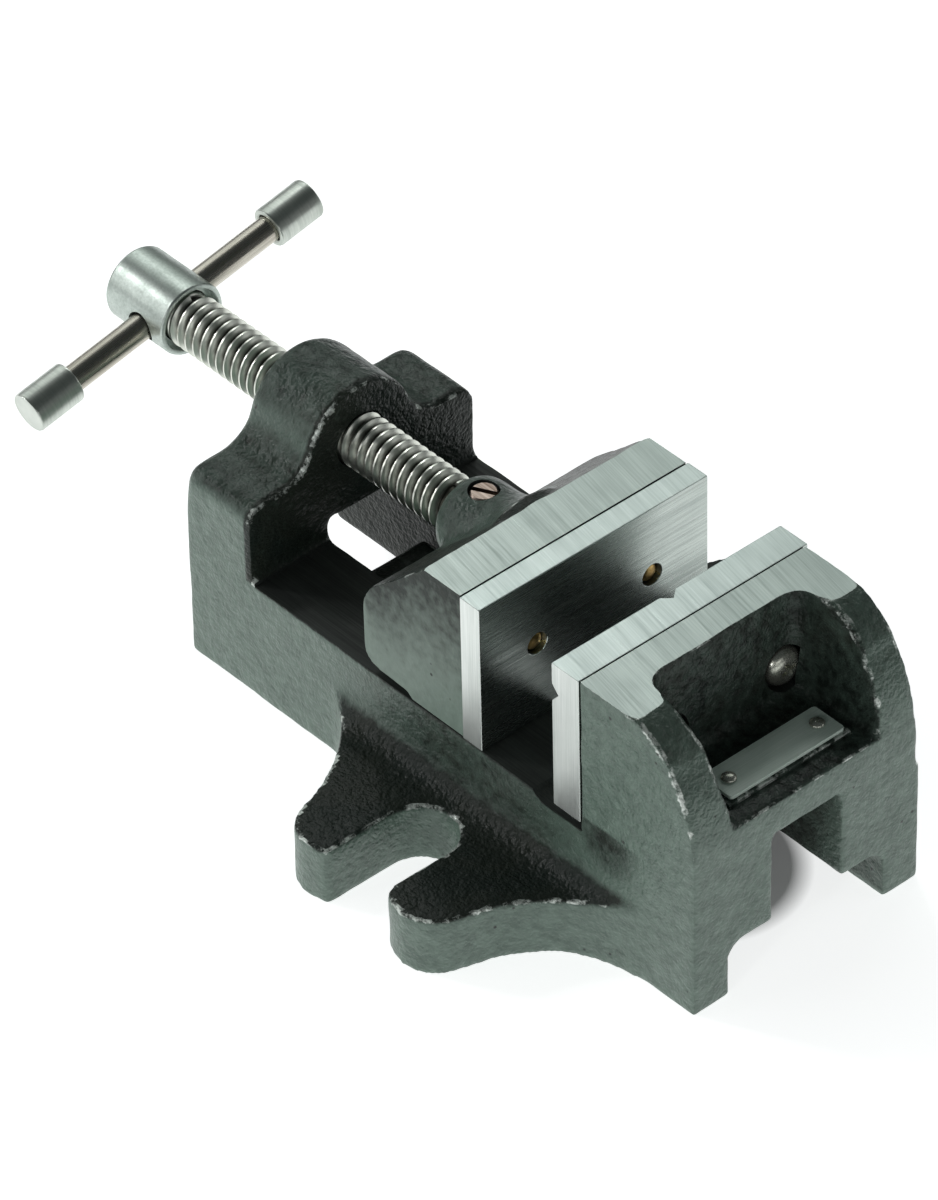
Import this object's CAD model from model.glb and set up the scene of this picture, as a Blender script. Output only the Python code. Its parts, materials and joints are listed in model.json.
"""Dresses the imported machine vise: castings, jaw plates, screw, handle and small parts, in a plain studio.

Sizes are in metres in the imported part's frame: +X runs along the screw towards the fixed jaw, +Z is up,
and -Y is the near side. Every finished piece sits at the origin with its place in its mesh.
"""

import json
import logging
import math
from dataclasses import dataclass, field
from enum import Enum, IntEnum
from typing import Callable, Iterable, Sequence

import bmesh
import bpy
from mathutils import Euler, Matrix, Vector, noise


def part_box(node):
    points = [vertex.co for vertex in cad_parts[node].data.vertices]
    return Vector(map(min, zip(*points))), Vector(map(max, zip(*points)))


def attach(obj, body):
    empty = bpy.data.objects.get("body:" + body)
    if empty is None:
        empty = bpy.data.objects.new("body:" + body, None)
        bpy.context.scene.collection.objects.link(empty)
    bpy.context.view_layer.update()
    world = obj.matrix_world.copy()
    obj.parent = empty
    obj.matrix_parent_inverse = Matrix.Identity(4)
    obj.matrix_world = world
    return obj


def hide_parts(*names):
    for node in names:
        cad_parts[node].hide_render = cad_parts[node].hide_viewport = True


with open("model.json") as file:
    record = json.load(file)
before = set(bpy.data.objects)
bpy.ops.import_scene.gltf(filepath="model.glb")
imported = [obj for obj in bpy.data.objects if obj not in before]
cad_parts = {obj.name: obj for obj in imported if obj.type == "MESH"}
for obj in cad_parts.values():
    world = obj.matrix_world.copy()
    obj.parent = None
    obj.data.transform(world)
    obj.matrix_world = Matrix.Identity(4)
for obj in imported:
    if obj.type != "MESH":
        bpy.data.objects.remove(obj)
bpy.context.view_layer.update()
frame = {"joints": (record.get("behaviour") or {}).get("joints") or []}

LOG = logging.getLogger("vise")

MM = 0.001
GAP = 0.3 * MM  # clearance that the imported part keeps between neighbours
PAST = 6 * MM  # how far a cutter runs past what it cuts
X_AXIS = Vector((1, 0, 0))
Z_AXIS = Vector((0, 0, 1))
SHARP = math.radians(34)

Outline = Sequence[tuple[float, float]]
Placing = Callable[[float, float, float], tuple[float, float, float]]


class Body(Enum):
    """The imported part's moving bodies."""

    BASE = "base"
    MOVING_JAW = "moving_jaw"
    SPINDLE = "spindle"
    HANDLE = "handle"


class Slot(Enum):
    """The record's material slots."""

    CAST_IRON = "cast_iron_painted"
    GROUND = "steel_ground"
    TURNED = "steel_turned"
    ZINC = "steel_zinc_plated"
    YELLOW_ZINC = "steel_yellow_zinc"
    ALUMINIUM = "aluminium_sheet"


class Lay(Enum):
    """Which way the tool marks of a machined face run, as the stretch of the pattern along X, Y and Z."""

    ALONG_X = (0.02, 1.0, 1.0)
    ALONG_Y = (1.0, 0.02, 1.0)
    ALONG_Z = (1.0, 1.0, 0.02)
    ROUND_Y = (0.04, 1.0, 0.04)
    EVEN = (1.0, 1.0, 1.0)


class BaseFace(IntEnum):
    """The places of the base casting's finishes."""

    ENAMEL = 0
    MILLED = 1
    GROUND = 2


class JawFace(IntEnum):
    """The places of the moving jaw's finishes."""

    ENAMEL = 0
    GROUND = 1
    LINISHED = 2
    MILLED = 3


class PlateFace(IntEnum):
    """The places of a jaw plate's finishes."""

    WORKING = 0
    TOP = 1
    END = 2


class Kind(Enum):
    """The kinds of node that the finishes use."""

    PLACE = "ShaderNodeTexCoord"
    TURN = "ShaderNodeMapping"
    STORED = "ShaderNodeAttribute"
    NOISE = "ShaderNodeTexNoise"
    CELLS = "ShaderNodeTexVoronoi"
    RANGE = "ShaderNodeMapRange"
    MATH = "ShaderNodeMath"
    VECTOR = "ShaderNodeVectorMath"
    MIX = "ShaderNodeMix"
    BUMP = "ShaderNodeBump"
    RAY = "ShaderNodeLightPath"


FIRST, SECOND = 6, 7  # the Mix node's two colour inputs
COLOURS = {"out": 2, "data_type": "RGBA"}  # makes a Mix node mix colours, and takes its colour output


# ---- materials ----


def linear(colour: str) -> tuple[float, float, float, float]:
    """Turns an sRGB hex colour to linear.

    Args:
        colour: the colour as #RRGGBB.

    Returns:
        Linear red, green, blue and an alpha of 1.
    """
    parts = [int(colour[i:i + 2], 16) / 255 for i in (1, 3, 5)]
    red, green, blue = (c / 12.92 if c <= 0.04045 else ((c + 0.055) / 1.055) ** 2.4 for c in parts)
    return red, green, blue, 1.0


def add_node(
    tree: bpy.types.NodeTree, kind: Kind, values: dict | None = None, links: dict | None = None,
    out: int | str = 0, **settings
) -> bpy.types.NodeSocket:
    """Adds a node with its settings, its sockets' values and its links.

    Args:
        tree: the node tree.
        kind: the node's kind.
        values: input name or index to a fixed value.
        links: input name or index to the socket that feeds it.
        out: the name or index of the output to return.
        **settings: the node's own properties.

    Returns:
        The chosen output.
    """
    made = tree.nodes.new(kind.value)
    for name, value in settings.items():
        setattr(made, name, value)
    for key, value in (values or {}).items():
        made.inputs[key].default_value = value
    for key, source in (links or {}).items():
        tree.links.new(source, made.inputs[key])
    return made.outputs[out]


def start_material(name: str) -> tuple[bpy.types.Material, bpy.types.NodeTree, bpy.types.NodeSocket]:
    """Makes an empty Principled material.

    Args:
        name: the material's name.

    Returns:
        The material, its tree and its Object coordinates.
    """
    material = bpy.data.materials.new(name)
    material.use_nodes = True
    tree = material.node_tree
    return material, tree, add_node(tree, Kind.PLACE, out="Object")


def dress(material: bpy.types.Material, values: dict, links: dict) -> bpy.types.Material:
    """Sets and feeds the material's shader.

    Args:
        material: the material.
        values: shader input to a fixed value.
        links: shader input to the socket that feeds it.

    Returns:
        The material.
    """
    shader = material.node_tree.nodes["Principled BSDF"]
    for key, value in values.items():
        shader.inputs[key].default_value = value
    for key, source in links.items():
        material.node_tree.links.new(source, shader.inputs[key])
    return material


@dataclass(frozen=True)
class CastEnamel:
    """Sand-cast iron under thin enamel: a pebbled skin, oily dirt where it gathers, bright broken edges.

    The enamel is a dielectric with half gloss. Where it is rubbed off, bare iron shows, half dulled.
    """

    name: str = "sand_cast_iron_thin_enamel"
    dark: str = "#56685E"
    light: str = "#66796E"
    oil: str = "#1A211D"
    rust: str = "#232721"
    worn: str = "#D5DCD6"
    mottling: float = 2.6 * MM
    patch: float = 19 * MM
    pebble: float = 1.4 * MM
    grain: float = 0.6 * MM  # a fine sand's grain is 0.3 mm, drawn coarser so that it shows
    pitting: float = 7 * MM
    chip: float = 4.5 * MM
    relief: float = 0.42 * MM
    roughness: float = 0.34
    wear: float = 1.0

    def build(self) -> bpy.types.Material:
        """Makes the material."""
        material, tree, place = start_material(self.name)
        at = {"Vector": place}

        # the sand's print in the skin, and a few pits
        pebbles = add_node(tree, Kind.NOISE, {"Scale": 1 / self.pebble, "Detail": 1.5}, at)
        sand = add_node(tree, Kind.NOISE, {"Scale": 1 / self.grain, "Detail": 1.0}, at)
        skin = add_node(tree, Kind.MATH, {1: 0.45}, {0: sand, 2: pebbles}, operation="MULTIPLY_ADD")
        bump = add_node(tree, Kind.BUMP, {"Strength": 1.0, "Distance": self.relief}, {"Height": skin})
        cells = add_node(tree, Kind.CELLS, {"Scale": 1 / self.pitting, "Randomness": 1.0}, at)
        pit_range = {"From Min": 0.04, "From Max": 0.075, "To Min": 1.0, "To Max": 0.0}
        pits = add_node(tree, Kind.RANGE, pit_range, {"Value": cells})

        # two tones of paint, under dirt that is more where the mesh says so
        mottle = add_node(tree, Kind.NOISE, {"Scale": 1 / self.mottling, "Detail": 5.0}, at)
        tone = add_node(tree, Kind.RANGE, {"From Min": 0.36, "From Max": 0.64}, {"Value": mottle})
        ends = {FIRST: linear(self.dark), SECOND: linear(self.light)}
        paint = add_node(tree, Kind.MIX, ends, {0: tone}, **COLOURS)
        patches = add_node(
            tree, Kind.NOISE, {"Scale": 1 / self.patch, "Detail": 4.0, "Distortion": 0.6}, at
        )
        brown = add_node(tree, Kind.RANGE, {"From Min": 0.44, "From Max": 0.62}, {"Value": patches})
        ends = {FIRST: linear(self.oil), SECOND: linear(self.rust)}
        dirt = add_node(tree, Kind.MIX, ends, {0: brown}, **COLOURS)
        gathered = add_node(tree, Kind.STORED, out="Fac", attribute_name="soil")
        uneven = add_node(tree, Kind.MATH, {1: 0.9}, {0: mottle, 2: gathered}, operation="MULTIPLY_ADD")
        soil_range = {"From Min": 0.62, "From Max": 1.22, "To Max": 0.95}
        soiled = add_node(tree, Kind.RANGE, soil_range, {"Value": uneven})
        covered = add_node(tree, Kind.MATH, None, {0: soiled, 1: pits}, operation="MAXIMUM")
        stained = add_node(tree, Kind.MIX, None, {0: covered, FIRST: paint, SECOND: dirt}, **COLOURS)

        # edges rubbed to bare iron, in broken lengths
        ridge = add_node(tree, Kind.STORED, out="Fac", attribute_name="edge")
        rub_range = {"From Min": 0.34, "From Max": 0.5, "To Max": self.wear}
        rubbed = add_node(tree, Kind.RANGE, rub_range, {"Value": ridge})
        chips = add_node(tree, Kind.NOISE, {"Scale": 1 / self.chip, "Detail": 8.0, "Roughness": 0.72}, at)
        broken = add_node(tree, Kind.RANGE, {"From Min": 0.49, "From Max": 0.6}, {"Value": chips})
        bright = add_node(tree, Kind.MATH, None, {0: rubbed, 1: broken}, operation="MULTIPLY")

        iron = {SECOND: linear(self.worn)}
        gloss_range = {"To Min": self.roughness - 0.06, "To Max": self.roughness + 0.12}
        return dress(material, {}, {
            "Base Color": add_node(tree, Kind.MIX, iron, {0: bright, FIRST: stained}, **COLOURS),
            "Metallic": add_node(tree, Kind.MATH, {1: 0.5}, {0: bright}, operation="MULTIPLY"),
            "Roughness": add_node(tree, Kind.RANGE, gloss_range, {"Value": pebbles}),
            "Specular IOR Level": add_node(
                tree, Kind.RANGE, {"To Min": 0.5, "To Max": 0.2}, {"Value": soiled}
            ),
            "Normal": bump,
        })


@dataclass(frozen=True)
class MachinedSteel:
    """Bare steel or iron after a cutter, a wheel or a lathe: parallel marks, streaked in tone and gloss.

    It is a metal at its default IOR. The marks' spacing is the feed of the tool or the grit of the wheel.
    """

    name: str
    dark: str
    light: str
    lay: Lay
    marks: float = 0.35 * MM  # grinding marks are nearer 0.1 mm, drawn coarser so that they show
    cloud: float = 9 * MM
    roughness: float = 0.3
    relief: float = 0.012 * MM
    turn: tuple[float, float, float] = (0.0, 0.0, 0.0)
    metallic: float = 1.0

    def build(self) -> bpy.types.Material:
        """Makes the material."""
        material, tree, place = start_material(self.name)
        turned_place = add_node(tree, Kind.TURN, {"Rotation": Euler(self.turn)}, {"Vector": place})
        drawn = {"Vector": add_node(tree, Kind.TURN, {"Scale": self.lay.value}, {"Vector": turned_place})}
        fine = add_node(tree, Kind.NOISE, {"Scale": 1 / self.marks, "Detail": 3.0, "Roughness": 0.65}, drawn)
        broad = add_node(tree, Kind.NOISE, {"Scale": 1 / (7 * self.marks), "Detail": 2.0}, drawn)
        cloud = add_node(tree, Kind.NOISE, {"Scale": 1 / self.cloud, "Detail": 2.0}, {"Vector": place})
        streak = add_node(tree, Kind.MATH, {1: 0.6}, {0: broad, 2: fine}, operation="MULTIPLY_ADD")
        tone = add_node(tree, Kind.MATH, {1: 0.35}, {0: cloud, 2: streak}, operation="MULTIPLY_ADD")
        share = add_node(tree, Kind.RANGE, {"From Min": 0.7, "From Max": 1.28}, {"Value": tone})
        ends = {FIRST: linear(self.dark), SECOND: linear(self.light)}
        gloss_range = {
            "From Min": 0.6, "From Max": 1.2, "To Min": self.roughness + 0.09, "To Max": self.roughness - 0.07
        }
        return dress(material, {"Metallic": self.metallic}, {
            "Base Color": add_node(tree, Kind.MIX, ends, {0: share}, **COLOURS),
            "Roughness": add_node(tree, Kind.RANGE, gloss_range, {"Value": streak}),
            "Normal": add_node(
                tree, Kind.BUMP, {"Strength": 1.0, "Distance": self.relief}, {"Height": streak}
            ),
        })


@dataclass(frozen=True)
class ThreadSteel:
    """Cut thread in bright steel: crests polished by use, roots holding oil and dirt."""

    name: str
    centre: float  # height of the thread's axis
    root: float
    crest: float
    polished: str = "#D9DCD3"
    grimy: str = "#4A4A43"
    blotch: float = 3 * MM
    roughness: float = 0.3

    def build(self) -> bpy.types.Material:
        """Makes the material."""
        material, tree, place = start_material(self.name)
        centred = add_node(tree, Kind.VECTOR, {1: (0, 0, self.centre)}, {0: place}, operation="SUBTRACT")
        from_axis = add_node(tree, Kind.VECTOR, {1: (0, 1, 1)}, {0: centred}, operation="MULTIPLY")
        radius = add_node(tree, Kind.VECTOR, None, {0: from_axis}, "Value", operation="LENGTH")
        flank = {"From Min": self.root, "From Max": self.crest}
        height = add_node(tree, Kind.RANGE, flank, {"Value": radius})
        blotch = add_node(tree, Kind.NOISE, {"Scale": 1 / self.blotch, "Detail": 3.0}, {"Vector": place})
        clean = add_node(tree, Kind.MATH, {1: 0.5}, {0: blotch, 2: height}, operation="MULTIPLY_ADD")
        share = add_node(tree, Kind.RANGE, {"From Min": 0.32, "From Max": 0.82}, {"Value": clean})
        ends = {FIRST: linear(self.grimy), SECOND: linear(self.polished)}
        gloss_range = {"To Min": 0.5, "To Max": self.roughness}
        return dress(material, {"Metallic": 1.0}, {
            "Base Color": add_node(tree, Kind.MIX, ends, {0: share}, **COLOURS),
            "Roughness": add_node(tree, Kind.RANGE, gloss_range, {"Value": share}),
        })


@dataclass(frozen=True)
class StudioPaper:
    """Seamless background paper: matt, pale, faintly uneven, and lit from below as on a light table."""

    name: str = "background_paper"
    tint: str = "#F4F5F5"
    shade: str = "#EEEFEF"
    cloud: float = 300 * MM
    glow: float = 0.9
    shadow_at: tuple[float, float, float] = (70 * MM, 0, 0)  # where the vise keeps the paper dark
    shadow_size: tuple[float, float, float] = (26 * MM, 24 * MM, 1.0)

    def build(self) -> bpy.types.Material:
        """Makes the material."""
        material, tree, place = start_material(self.name)
        cloud = add_node(tree, Kind.NOISE, {"Scale": 1 / self.cloud}, {"Vector": place})
        ends = {FIRST: linear(self.shade), SECOND: linear(self.tint)}
        colour = add_node(tree, Kind.MIX, ends, {0: cloud}, **COLOURS)
        aside = add_node(tree, Kind.VECTOR, {1: self.shadow_at}, {0: place}, operation="SUBTRACT")
        ring = add_node(tree, Kind.VECTOR, {1: self.shadow_size}, {0: aside}, operation="DIVIDE")
        away = add_node(tree, Kind.VECTOR, None, {0: ring}, "Value", operation="LENGTH")
        glow_range = {"From Min": 0.85, "From Max": 1.05, "To Min": 0.1 * self.glow, "To Max": self.glow}
        return dress(material, {"Roughness": 0.85, "Specular IOR Level": 0.0}, {
            "Base Color": colour,
            "Emission Color": colour,
            "Emission Strength": add_node(tree, Kind.RANGE, glow_range, {"Value": away}),
        })


# ---- mesh helpers ----


def side_view(a: float, b: float, height: float) -> tuple[float, float, float]:
    """Places an outline seen along +Y: a is X, b is Z."""
    return a, height, b


def end_view(a: float, b: float, height: float) -> tuple[float, float, float]:
    """Places an outline seen along the screw: a is Y, b is Z."""
    return height, a, b


def top_view(a: float, b: float, height: float) -> tuple[float, float, float]:
    """Places an outline seen from above: a is X, b is Y."""
    return a, b, height


def middle_of(node: str) -> Vector:
    """The middle of a CAD node's box at rest."""
    return sum(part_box(node), Vector()) / 2


def heading(azimuth: float, elevation: float) -> Vector:
    """A direction out from the vise.

    Args:
        azimuth: in radians, 0 being the near side and a quarter turn the fixed jaw's end.
        elevation: in radians above the floor.

    Returns:
        The unit vector.
    """
    flat = math.cos(elevation)
    return Vector((math.sin(azimuth) * flat, -math.cos(azimuth) * flat, math.sin(elevation)))


def handle_axis() -> Vector:
    """The direction in which the handle slides."""
    return Vector(next(j["axis"] for j in frame["joints"] if j["name"] == "handle_slide")).normalized()


def arc(
    centre: tuple[float, float], radius: float, start: float, end: float, steps: int
) -> list[tuple[float, float]]:
    """Points on an arc.

    Args:
        centre: the arc's centre.
        radius: its radius.
        start: first angle in degrees.
        end: last angle in degrees.
        steps: number of equal steps.

    Returns:
        The points, both ends included.
    """
    angles = [math.radians(start + (end - start) * i / steps) for i in range(steps + 1)]
    return [(centre[0] + radius * math.cos(t), centre[1] + radius * math.sin(t)) for t in angles]


def bevel(bm: bmesh.types.BMesh, edges: Iterable[bmesh.types.BMEdge], width: float, segments: int) -> None:
    """Rounds edges.

    Args:
        bm: the shape.
        edges: its edges to round.
        width: how far the rounding reaches from each edge.
        segments: steps across it.
    """
    bmesh.ops.bevel(
        bm, geom=list(edges), offset=width, segments=segments, profile=0.5, affect="EDGES", material=-1
    )


def prism(outline: Outline, place: Placing, low: float, high: float) -> bmesh.types.BMesh:
    """Extrudes a flat outline.

    Args:
        outline: the corners, in order.
        place: one of the views.
        low: where the extrusion starts.
        high: where it ends.

    Returns:
        A closed shape.
    """
    bm = bmesh.new()
    face = bm.faces.new([bm.verts.new(place(a, b, low)) for a, b in outline])
    made = bmesh.ops.extrude_face_region(bm, geom=[face])["geom"]
    rise = Vector(place(0, 0, high)) - Vector(place(0, 0, low))
    bmesh.ops.translate(bm, vec=rise, verts=[v for v in made if isinstance(v, bmesh.types.BMVert)])
    bmesh.ops.recalc_face_normals(bm, faces=bm.faces)
    return bm


def bar(low: Sequence[float], high: Sequence[float], edge: float = 0.0) -> bmesh.types.BMesh:
    """A rectangular bar with broken edges.

    Args:
        low: its lowest corner.
        high: its highest corner.
        edge: width of the bevel on every edge.

    Returns:
        A closed shape.
    """
    bm = bmesh.new()
    size = Vector(high) - Vector(low)
    middle = (Vector(high) + Vector(low)) / 2
    bmesh.ops.create_cube(bm, size=1, matrix=Matrix.Translation(middle) @ Matrix.Diagonal((*size, 1)))
    if edge:
        bevel(bm, bm.edges, edge, 2)
    return bm


def turned(profile: Outline, start: Sequence[float], axis: Vector, steps: int = 72) -> bmesh.types.BMesh:
    """Turns a profile round an axis, as on a lathe.

    Args:
        profile: distance along the axis and radius of each corner, the first and last on the axis.
        start: where the axis begins.
        axis: its direction.
        steps: number of sides.

    Returns:
        A closed round shape.
    """
    bm = bmesh.new()
    line = [bm.verts.new((radius, 0, along)) for along, radius in profile]
    edges = [bm.edges.new(pair) for pair in zip(line, line[1:])]
    bmesh.ops.spin(
        bm, geom=line + edges, cent=(0, 0, 0), axis=Z_AXIS, angle=2 * math.pi, steps=steps, use_merge=True
    )
    bmesh.ops.remove_doubles(bm, verts=bm.verts, dist=0.001 * MM)
    bmesh.ops.recalc_face_normals(bm, faces=bm.faces)
    turn = Z_AXIS.rotation_difference(axis.normalized()).to_matrix().to_4x4()
    bmesh.ops.transform(bm, matrix=Matrix.Translation(Vector(start)) @ turn, verts=bm.verts)
    return bm


def rod(
    start: Sequence[float], axis: Vector, radius: float, length: float, chamfer: float = 0.0, steps: int = 48
) -> bmesh.types.BMesh:
    """A round bar with chamfered ends.

    Args:
        start: the middle of its first end.
        axis: its direction.
        radius: its radius.
        length: its length.
        chamfer: width of the chamfers.
        steps: number of sides.

    Returns:
        A closed round shape.
    """
    profile = [(0, 0), (0, radius - chamfer), (chamfer, radius)]
    profile += [(length - chamfer, radius), (length, radius - chamfer), (length, 0)]
    if not chamfer:
        profile = [(0, 0), (0, radius), (length, radius), (length, 0)]
    return turned(profile, start, axis, steps)


def gather(shapes: Iterable[bmesh.types.BMesh]) -> bmesh.types.BMesh:
    """Puts shapes that don't touch into one.

    Args:
        shapes: the shapes, which are freed.

    Returns:
        One bmesh with all of them.
    """
    bm = bmesh.new()
    for shape in shapes:
        loose = bpy.data.meshes.new("loose")
        shape.to_mesh(loose)
        shape.free()
        bm.from_mesh(loose)
        bpy.data.meshes.remove(loose)
    return bm


class Piece:
    """A mesh in the making: it starts from one shape and is joined, cut, cast and finished."""

    def __init__(self, name: str, bm: bmesh.types.BMesh, *finishes: bpy.types.Material) -> None:
        """Starts the piece.

        Args:
            name: the finished piece's name.
            bm: the first shape, which is freed.
            *finishes: the piece's materials. A cut names one by its place here.
        """
        self.name = name
        self.finishes = finishes
        self.obj = self._object(name, bm, 0)

    def _object(self, name: str, bm: bmesh.types.BMesh, finish: int) -> bpy.types.Object:
        """Makes an object of a bmesh.

        Args:
            name: the object's name.
            bm: the shape, which is freed.
            finish: the place among the piece's finishes of the one that every face gets.

        Returns:
            The object, linked to the scene.
        """
        for face in bm.faces:
            face.material_index = finish
        mesh = bpy.data.meshes.new(name)
        bm.to_mesh(mesh)
        bm.free()
        for material in self.finishes:
            mesh.materials.append(material)
        made = bpy.data.objects.new(name, mesh)
        bpy.context.scene.collection.objects.link(made)
        return made

    def _settle(self) -> None:
        """Applies the modifiers to the mesh."""
        graph = bpy.context.evaluated_depsgraph_get()
        graph.update()
        settled = bpy.data.meshes.new_from_object(
            self.obj.evaluated_get(graph), preserve_all_data_layers=True, depsgraph=graph
        )
        self.obj.modifiers.clear()
        old = self.obj.data
        self.obj.data = settled
        bpy.data.meshes.remove(old)
        settled.name = self.name

    def _combine(self, operation: str, bm: bmesh.types.BMesh, finish: int) -> "Piece":
        """Runs one exact Boolean.

        Args:
            operation: the Boolean's kind.
            bm: the other shape, which is freed.
            finish: the finish of the faces that it leaves.

        Returns:
            The piece.
        """
        bmesh.ops.recalc_face_normals(bm, faces=bm.faces)
        other = self._object(f"{self.name}_tool", bm, finish)
        modifier = self.obj.modifiers.new("combine", "BOOLEAN")
        modifier.operation = operation
        modifier.solver = "EXACT"
        modifier.object = other
        self._settle()
        bpy.data.objects.remove(other)
        return self

    def join(self, bm: bmesh.types.BMesh, finish: int = 0) -> "Piece":
        """Joins a shape on."""
        return self._combine("UNION", bm, finish)

    def cut(self, bm: bmesh.types.BMesh, finish: int = 0) -> "Piece":
        """Cuts a shape away, leaving faces of that finish."""
        return self._combine("DIFFERENCE", bm, finish)

    def keep(self, bm: bmesh.types.BMesh, finish: int = 0) -> "Piece":
        """Keeps only what lies inside a shape."""
        return self._combine("INTERSECT", bm, finish)

    def shape(self) -> bmesh.types.BMesh:
        """Takes the mesh back as a bmesh and removes the object."""
        bm = bmesh.new()
        bm.from_mesh(self.obj.data)
        mesh = self.obj.data
        bpy.data.objects.remove(self.obj)
        bpy.data.meshes.remove(mesh)
        return bm

    def cast(self, voxel: float, softness: int, wander: float, seed: float) -> "Piece":
        """Gives the shape a casting's skin: rounded edges and slightly wandering faces.

        Args:
            voxel: size of the new mesh's faces.
            softness: rounds of smoothing, which set the edges' radius.
            wander: how far a face may stray from true.
            seed: shifts the pattern.

        Returns:
            The piece.
        """
        modifier = self.obj.modifiers.new("skin", "REMESH")
        modifier.mode = "VOXEL"
        modifier.voxel_size = voxel
        self._settle()
        bm = bmesh.new()
        bm.from_mesh(self.obj.data)
        for _ in range(softness):
            bmesh.ops.smooth_vert(
                bm, verts=bm.verts, factor=0.5, use_axis_x=True, use_axis_y=True, use_axis_z=True
            )
        bm.normal_update()
        shift = Vector((seed, 2 * seed, 3 * seed))
        for v in bm.verts:
            slow, quick = (noise.noise(v.co / size + shift) for size in (11 * MM, 3.2 * MM))
            v.co += v.normal * wander * (slow * 0.8 + quick * 0.45 - 0.5)
        bm.to_mesh(self.obj.data)
        bm.free()
        return self

    def weather(self, dirt: Callable[[Vector, Vector], float], bare: Sequence[int] = ()) -> "Piece":
        """Stores what the enamel reads: edge, where it is rubbed off, and soil, where dirt lies.

        Args:
            dirt: how much dirt lies at a point with that normal, from 0 to 1.
            bare: finishes beside which the enamel isn't rubbed.

        Returns:
            The piece.
        """
        mesh = self.obj.data
        bm = bmesh.new()
        bm.from_mesh(mesh)
        bm.normal_update()
        rubbed = []
        for v in bm.verts:
            bends = [e.calc_face_angle_signed(0.0) / max(e.calc_length(), 0.4 * MM) for e in v.link_edges]
            upward = min(max(v.normal.z * 2.2 + 0.1, 0), 1)
            beside = any(face.material_index in bare for face in v.link_faces)
            rubbed.append(0.0 if beside else max(bends, default=0) * MM * upward)
        soil = [dirt(v.co, v.normal) for v in bm.verts]
        bm.free()
        for name, values in (("edge", rubbed), ("soil", soil)):
            attribute = mesh.attributes.new(name, "FLOAT", "POINT")
            attribute.data.foreach_set("value", values)
        return self

    def paint(self, finish: int, chosen: Callable[[bpy.types.MeshPolygon], bool]) -> "Piece":
        """Gives some faces another finish.

        Args:
            finish: the finish's place among the piece's finishes.
            chosen: says whether a face gets it.

        Returns:
            The piece.
        """
        for polygon in self.obj.data.polygons:
            if chosen(polygon):
                polygon.material_index = finish
        return self

    def done(self, body: Body, slot: Slot, *nodes: str) -> bpy.types.Object:
        """Finishes the piece and puts it on its body.

        Args:
            body: the body that it rides on.
            slot: the record's slot that it takes its finish from.
            *nodes: the CAD nodes that it stands for.

        Returns:
            The finished object.
        """
        mesh = self.obj.data
        mesh.shade_smooth()
        mesh.set_sharp_from_angle(angle=SHARP)
        even = self.obj.modifiers.new("even_normals", "WEIGHTED_NORMAL")
        even.keep_sharp = True
        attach(self.obj, body.value)
        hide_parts(*nodes)
        LOG.info("%s: %d faces on %s", self.name, len(mesh.polygons), body.value)
        return self.obj


# ---- finishes ----


class Finishes:
    """The materials that the sub-assemblies share, made once."""

    def __init__(self) -> None:
        """Makes every material."""
        steel = MachinedSteel
        ground = {"turn": (0, 0, math.radians(11)), "marks": 0.4 * MM}
        self.enamel = CastEnamel().build()
        # the jaw's sides were linished flat before painting, so the sand's print is nearly gone
        self.flat_enamel = CastEnamel(
            "thin_enamel_over_linished_iron", "#6A7B71", "#76887D", relief=0.09 * MM, roughness=0.44, wear=0.0
        ).build()
        # oil-soaked cast iron, dark and dull, with the cutter's marks along the bed
        self.milled = steel(
            "oily_milled_cast_iron", "#1B1F1D", "#3A403C", Lay.ALONG_X, roughness=0.58, metallic=0.1
        ).build()
        # iron and steel off the same grinding wheel: marks 11 degrees off the screw's line, the steel lighter
        self.ground_iron = steel(
            "surface_ground_cast_iron", "#87918D", "#A2ABA7", Lay.ALONG_X, **ground
        ).build()
        self.ground_top = steel("ground_plate_top", "#9CA6A3", "#B7C0BD", Lay.ALONG_X, **ground).build()
        # sawn and filed ends, upright marks, nearly white
        self.ground_end = steel(
            "ground_plate_end", "#CDD3CF", "#E6EAE7", Lay.ALONG_Z, roughness=0.36, relief=0.006 * MM
        ).build()
        # working faces, smooth enough to mirror the other jaw
        self.ground_face = steel(
            "ground_plate_face", "#A2ABA7", "#C6CEC9", Lay.ALONG_Y, roughness=0.22
        ).build()
        # turned, then tumbled satin
        self.hub = steel(
            "satin_turned_steel_hub", "#A4AEA8", "#C4CDC7", Lay.EVEN, roughness=0.36, marks=0.6 * MM
        ).build()
        # clear zinc, slightly cloudy under oil
        self.zinc = steel(
            "zinc_plated_steel", "#B4B6AA", "#E2E3D8", Lay.EVEN, marks=0.7 * MM, roughness=0.24, metallic=0.85
        ).build()
        # zinc with a yellow chromate, iridescent brass to the eye
        self.yellow_zinc = steel(
            "yellow_chromate_zinc", "#7E6231", "#CDB077", Lay.EVEN, marks=0.8 * MM
        ).build()
        # plain steel browned by oil
        self.oiled_steel = steel(
            "oil_browned_steel", "#6B5A50", "#BDB0A6", Lay.ALONG_X, marks=0.5 * MM
        ).build()
        # matt clear anodising scatters light like a pale film, so it is hardly metallic
        self.sheet = steel(
            "matt_anodised_aluminium_sheet", "#C2D5C9", "#DCEAE1", Lay.ALONG_Y, marks=0.25 * MM,
            roughness=0.5, metallic=0.12,
        ).build()


# ---- base ----


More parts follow.
